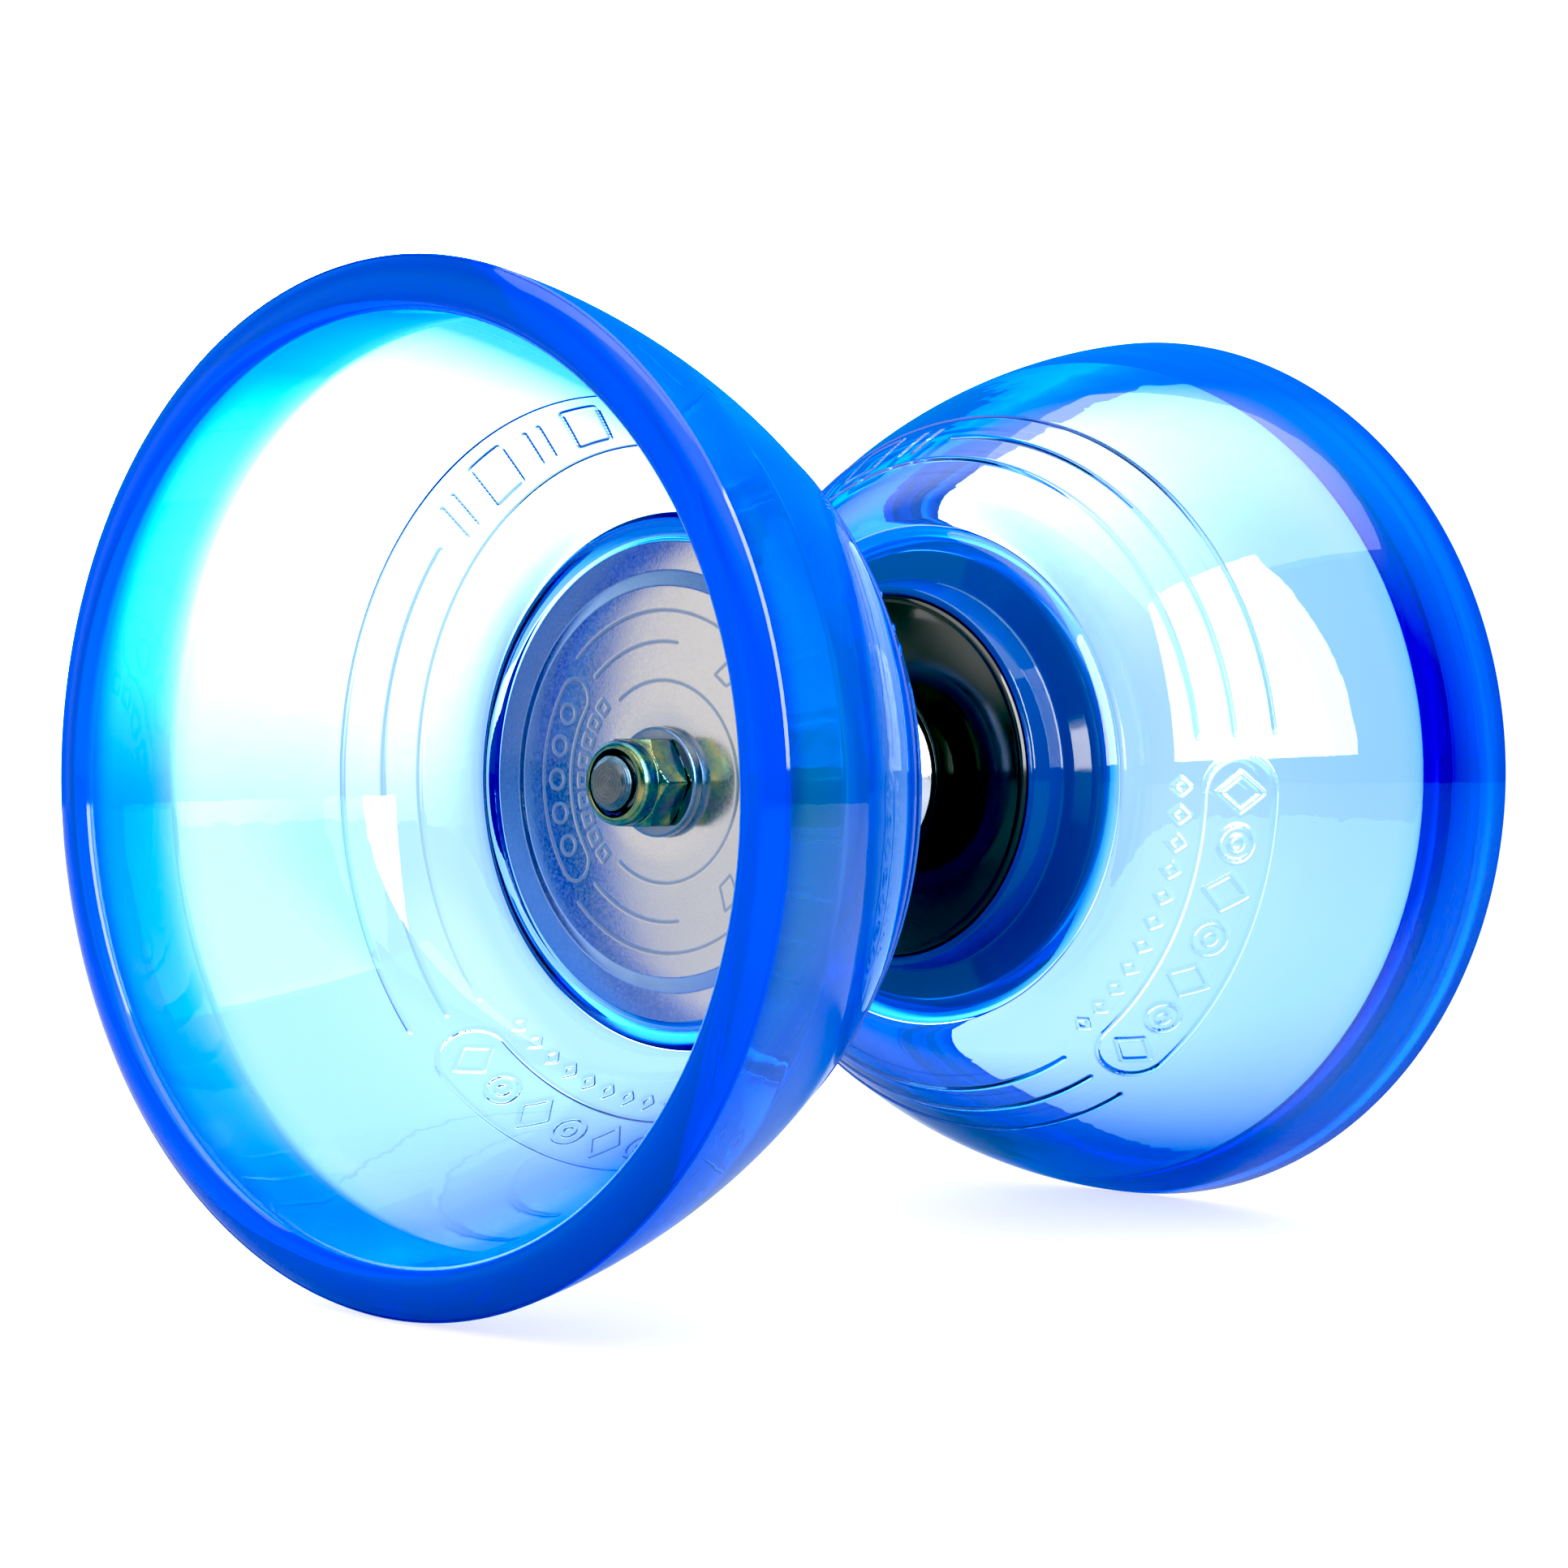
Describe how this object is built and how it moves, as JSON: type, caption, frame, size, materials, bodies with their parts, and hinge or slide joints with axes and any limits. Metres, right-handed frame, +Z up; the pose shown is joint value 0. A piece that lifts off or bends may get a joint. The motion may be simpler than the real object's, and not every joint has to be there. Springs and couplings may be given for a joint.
{
  "type": "bearing diabolo",
  "caption": "Two clear blue bowl-shaped cups on a bearing axle; a string runs on the waisted barrel between them and spins the cups.",
  "frame": {"origin": "middle of the axle, halfway between the cups, on the spin axis", "axes": "+Y along the spin axis towards the rear cup, +Z up, +X to the right seen from the front cup"},
  "size_m": [0.125, 0.151, 0.125],
  "materials": {
    "cup_plastic": "clear blue, polished",
    "plate_metal": "satin, lightly bead-blasted, with etched rings",
    "hub_black": "polished black",
    "washer_steel": "bright zinc",
    "nut_steel": "yellow-blue passivated zinc",
    "insert_nylon": "moulded",
    "spacer_steel": "turned",
    "race_steel": "ground",
    "shield_steel": "pressed",
    "ball_steel": "polished",
    "cage_steel": "pressed",
    "shaft_steel": "turned, with lathe marks on the ends",
    "barrel_metal": "polished",
    "clutch_steel": "drawn",
    "cage_plastic": "moulded",
    "spring_steel": "rolled"
  },
  "bodies": {
    "barrel": {"barrel": "barrel_metal", "front_bearing_outer_race": "race_steel", "front_bearing_shields": "shield_steel", "rear_bearing_outer_race": "race_steel", "rear_bearing_shields": "shield_steel", "clutch_shell": "clutch_steel", "clutch_cage": "cage_plastic", "clutch_rollers": "ball_steel", "clutch_springs": "spring_steel"},
    "rotor": {"front_cup": "cup_plastic", "front_plate": "plate_metal", "front_hub": "hub_black", "front_washer": "washer_steel", "front_nut": "nut_steel", "front_nut_insert": "insert_nylon", "front_spacer": "spacer_steel", "front_bearing_inner_race": "race_steel", "rear_cup": "cup_plastic", "rear_plate": "plate_metal", "rear_hub": "hub_black", "rear_washer": "washer_steel", "rear_nut": "nut_steel", "rear_nut_insert": "insert_nylon", "rear_spacer": "spacer_steel", "rear_bearing_inner_race": "race_steel", "shaft": "shaft_steel"},
    "front_ball_set": {"front_bearing_balls": "ball_steel", "front_bearing_cage": "cage_steel"},
    "rear_ball_set": {"rear_bearing_balls": "ball_steel", "rear_bearing_cage": "cage_steel"}
  },
  "joints": [
    {"name": "cup_spin", "type": "hinge", "parent": "barrel", "child": "rotor", "pos_m": [0, 0, 0], "axis": [0, 1, 0], "continuous": true},
    {"name": "front_ball_orbit", "type": "hinge", "parent": "barrel", "child": "front_ball_set", "pos_m": [0, -0.009, 0], "axis": [0, 1, 0], "continuous": true},
    {"name": "rear_ball_orbit", "type": "hinge", "parent": "barrel", "child": "rear_ball_set", "pos_m": [0, 0.009, 0], "axis": [0, 1, 0], "continuous": true}
  ],
  "couplings": [
    {"joint": "front_ball_orbit", "follows": "cup_spin", "ratio": 0.3654},
    {"joint": "rear_ball_orbit", "follows": "cup_spin", "ratio": 0.3654}
  ]
}
